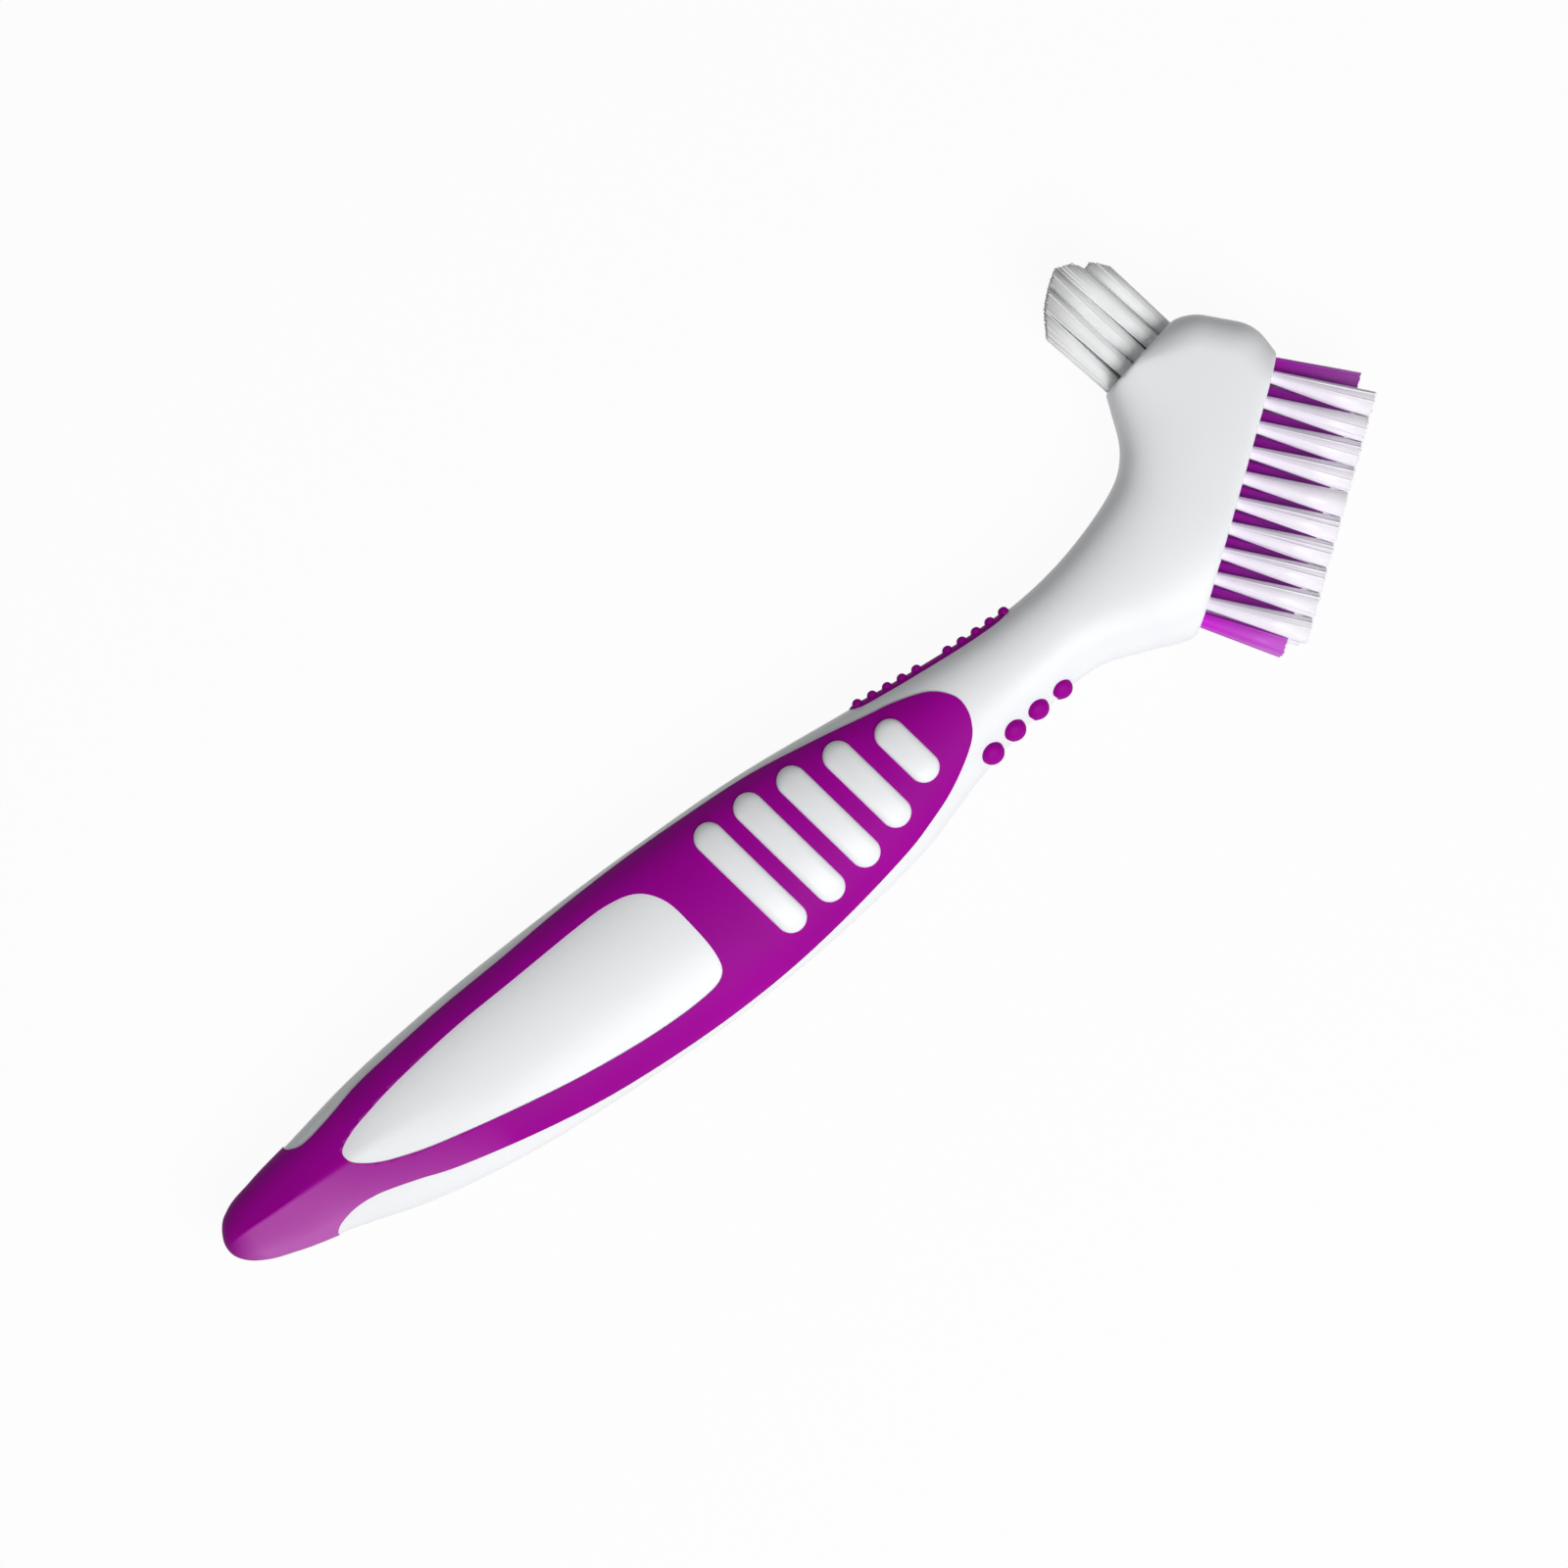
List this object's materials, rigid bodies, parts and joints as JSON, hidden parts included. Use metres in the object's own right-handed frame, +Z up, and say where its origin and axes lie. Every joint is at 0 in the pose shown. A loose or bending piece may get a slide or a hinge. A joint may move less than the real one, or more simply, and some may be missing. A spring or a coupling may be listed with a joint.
{
  "type": "denture brush",
  "caption": "Two-sided denture brush with a broad two-shot grip, a large two-colour angled brush and a small domed brush on one flat head.",
  "frame": {"origin": "under the middle of the whole brush, on the surface that it lies on", "axes": "+X from the tail towards the head, +Y towards the edge with the thumb pad and the small brush, +Z up from the broad side that it lies on"},
  "size_m": [0.185, 0.0579, 0.016],
  "materials": {
    "hard_white": "satin",
    "soft_purple": "satin",
    "white_filament": "translucent filament",
    "purple_filament": "translucent filament",
    "anchor_metal": "rolled"
  },
  "bodies": {
    "root": {"handle_body": "hard_white", "grip_shell": "soft_purple", "thumb_pad": "soft_purple", "finger_dots_near": "soft_purple", "finger_dots_far": "soft_purple", "white_tufts_line_01": "white_filament", "white_tufts_line_02": "white_filament", "white_tufts_line_03": "white_filament", "white_tufts_line_04": "white_filament", "white_tufts_line_05": "white_filament", "white_tufts_line_06": "white_filament", "white_tufts_line_07": "white_filament", "white_tufts_line_08": "white_filament", "white_tufts_line_09": "white_filament", "white_tufts_line_10": "white_filament", "purple_tufts_line_01": "purple_filament", "purple_tufts_line_02": "purple_filament", "purple_tufts_line_03": "purple_filament", "purple_tufts_line_04": "purple_filament", "purple_tufts_line_05": "purple_filament", "purple_tufts_line_06": "purple_filament", "purple_tufts_line_07": "purple_filament", "purple_tufts_line_08": "purple_filament", "purple_tufts_line_09": "purple_filament", "purple_tufts_line_10": "purple_filament", "purple_tufts_line_11": "purple_filament", "small_tufts_line_1": "white_filament", "small_tufts_line_2": "white_filament", "small_tufts_line_3": "white_filament", "small_tufts_line_4": "white_filament", "small_tufts_line_5": "white_filament", "white_tuft_anchors": "anchor_metal", "purple_tuft_anchors": "anchor_metal", "small_tuft_anchors": "anchor_metal"}
  },
  "joints": []
}
